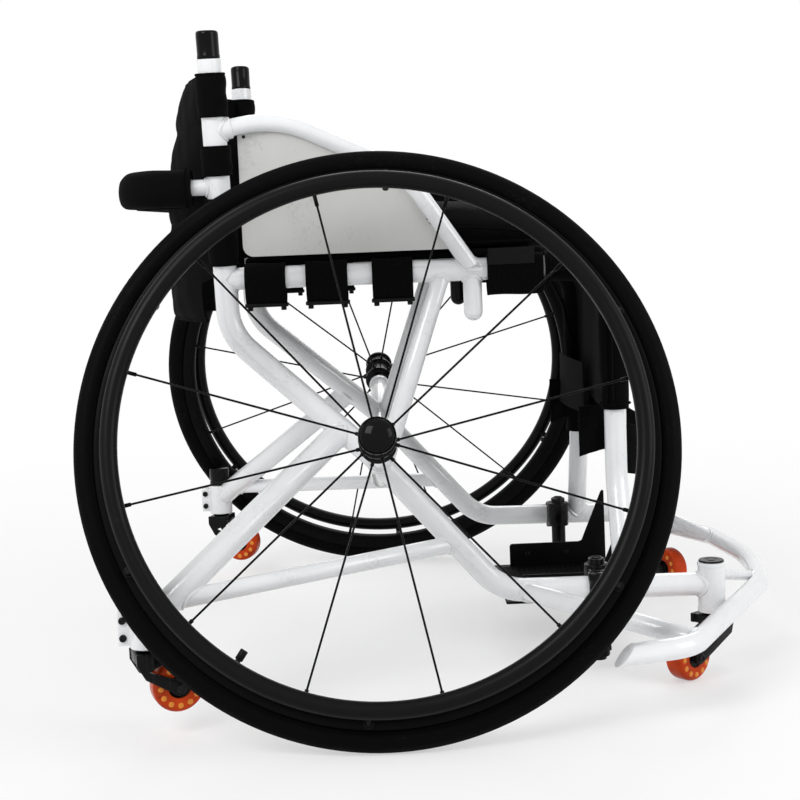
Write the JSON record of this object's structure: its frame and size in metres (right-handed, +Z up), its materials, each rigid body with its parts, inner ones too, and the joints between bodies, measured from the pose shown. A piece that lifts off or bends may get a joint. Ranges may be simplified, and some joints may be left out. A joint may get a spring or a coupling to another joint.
{
  "type": "basketball wheelchair",
  "caption": "Rigid court wheelchair with cambered drive wheels, a round wing bumper, swivelling casters front and rear, a sling back, a cushion and a footrest.",
  "frame": {"origin": "on the floor under the middle of the chair's box", "axes": "+X forwards, +Y to the sitter's left, +Z up"},
  "size_m": [0.7659, 0.9226, 0.7228],
  "materials": {
    "white_paint": "gloss white powder coat on the welded frame",
    "drive_tyre": "matt black road tyre with plain side walls",
    "caster_tyre": "glossy see-through orange urethane",
    "caster_core": "gloss black",
    "wheel_rim": "satin black anodised",
    "handrim": "satin black anodised",
    "wheel_hub": "black hub and black spokes",
    "axle_cap": "gloss black dome on a steel axle",
    "caster_fork": "gloss black",
    "stem_sleeve": "satin black",
    "post_cap": "gloss black",
    "side_guard": "satin light grey panel",
    "back_fabric": "black woven fabric with stitched edges",
    "webbing": "black woven webbing",
    "knee_sleeve": "black padded fabric sleeve",
    "cushion_cover": "black mesh fabric cover",
    "footrest": "satin black"
  },
  "bodies": {
    "frame": {"back_bow": "white_paint", "back_sling": "back_fabric", "bow_padding": "back_fabric", "camber_tube": "white_paint", "front_bumper": "white_paint", "left_axle": "axle_cap", "left_brace": "white_paint", "left_caster_housing": "white_paint", "left_footrest_clamp": "footrest", "left_front_stay": "white_paint", "left_guard_tube": "white_paint", "left_knee_sleeve": "knee_sleeve", "left_main_tube": "white_paint", "left_post_cap": "post_cap", "left_rear_stay": "white_paint", "left_rear_stem_sleeve": "stem_sleeve", "left_seat_rail": "white_paint", "left_side_guard": "side_guard", "left_wing_tube": "white_paint", "leg_strap": "webbing", "right_axle": "axle_cap", "right_brace": "white_paint", "right_caster_housing": "white_paint", "right_footrest_clamp": "footrest", "right_front_stay": "white_paint", "right_guard_tube": "white_paint", "right_knee_sleeve": "knee_sleeve", "right_main_tube": "white_paint", "right_post_cap": "post_cap", "right_rear_stay": "white_paint", "right_rear_stem_sleeve": "stem_sleeve", "right_seat_rail": "white_paint", "right_side_guard": "side_guard", "right_wing_tube": "white_paint", "seat_cushion": "cushion_cover", "seat_sling": "webbing"},
    "right_wheel": {"right_tyre": "drive_tyre", "right_rim": "wheel_rim", "right_hub_and_spokes": "wheel_hub", "right_handrim": "handrim"},
    "right_front_swivel": {"right_front_fork": "caster_fork"},
    "right_front_wheel": {"right_front_core": "caster_core", "right_front_tyre": "caster_tyre"},
    "right_rear_swivel": {"right_rear_fork": "caster_fork"},
    "right_rear_wheel": {"right_rear_core": "caster_core", "right_rear_tyre": "caster_tyre"},
    "left_wheel": {"left_tyre": "drive_tyre", "left_rim": "wheel_rim", "left_hub_and_spokes": "wheel_hub", "left_handrim": "handrim"},
    "left_front_swivel": {"left_front_fork": "caster_fork"},
    "left_front_wheel": {"left_front_core": "caster_core", "left_front_tyre": "caster_tyre"},
    "left_rear_swivel": {"left_rear_fork": "caster_fork"},
    "left_rear_wheel": {"left_rear_core": "caster_core", "left_rear_tyre": "caster_tyre"},
    "footrest": {"footrest_frame": "footrest", "footrest_tray": "footrest"}
  },
  "joints": [
    {"name": "right_wheel_spin", "type": "hinge", "parent": "frame", "child": "right_wheel", "pos_m": [-0.07838, -0.3447, 0.29222], "axis": [0, -0.9563, 0.2924], "continuous": true},
    {"name": "right_front_turn", "type": "hinge", "parent": "frame", "child": "right_front_swivel", "pos_m": [0.28312, -0.211, 0.057], "axis": [0, 0, 1], "continuous": true},
    {"name": "right_front_spin", "type": "hinge", "parent": "right_front_swivel", "child": "right_front_wheel", "pos_m": [0.25018, -0.23864, 0.027], "axis": [-0.6428, 0.766, 0], "continuous": true},
    {"name": "right_rear_turn", "type": "hinge", "parent": "frame", "child": "right_rear_swivel", "pos_m": [-0.31988, -0.358, 0.082], "axis": [0, 0, 1], "continuous": true},
    {"name": "right_rear_spin", "type": "hinge", "parent": "right_rear_swivel", "child": "right_rear_wheel", "pos_m": [-0.29299, -0.34714, 0.052], "axis": [0.3746, -0.9272, 0], "continuous": true},
    {"name": "left_wheel_spin", "type": "hinge", "parent": "frame", "child": "left_wheel", "pos_m": [-0.07838, 0.3447, 0.29222], "axis": [0, 0.9563, 0.2924], "continuous": true},
    {"name": "left_front_turn", "type": "hinge", "parent": "frame", "child": "left_front_swivel", "pos_m": [0.28312, 0.211, 0.057], "axis": [0, 0, 1], "continuous": true},
    {"name": "left_front_spin", "type": "hinge", "parent": "left_front_swivel", "child": "left_front_wheel", "pos_m": [0.30654, 0.17494, 0.027], "axis": [-0.8387, -0.5446, 0], "continuous": true},
    {"name": "left_rear_turn", "type": "hinge", "parent": "frame", "child": "left_rear_swivel", "pos_m": [-0.31988, 0.358, 0.082], "axis": [0, 0, 1], "continuous": true},
    {"name": "left_rear_spin", "type": "hinge", "parent": "left_rear_swivel", "child": "left_rear_wheel", "pos_m": [-0.29174, 0.35098, 0.052], "axis": [-0.2419, -0.9703, 0], "continuous": true},
    {"name": "footrest_height", "type": "slide", "parent": "frame", "child": "footrest", "axis": [0, 0, 1], "range_m": [-0.008, 0.02]}
  ]
}
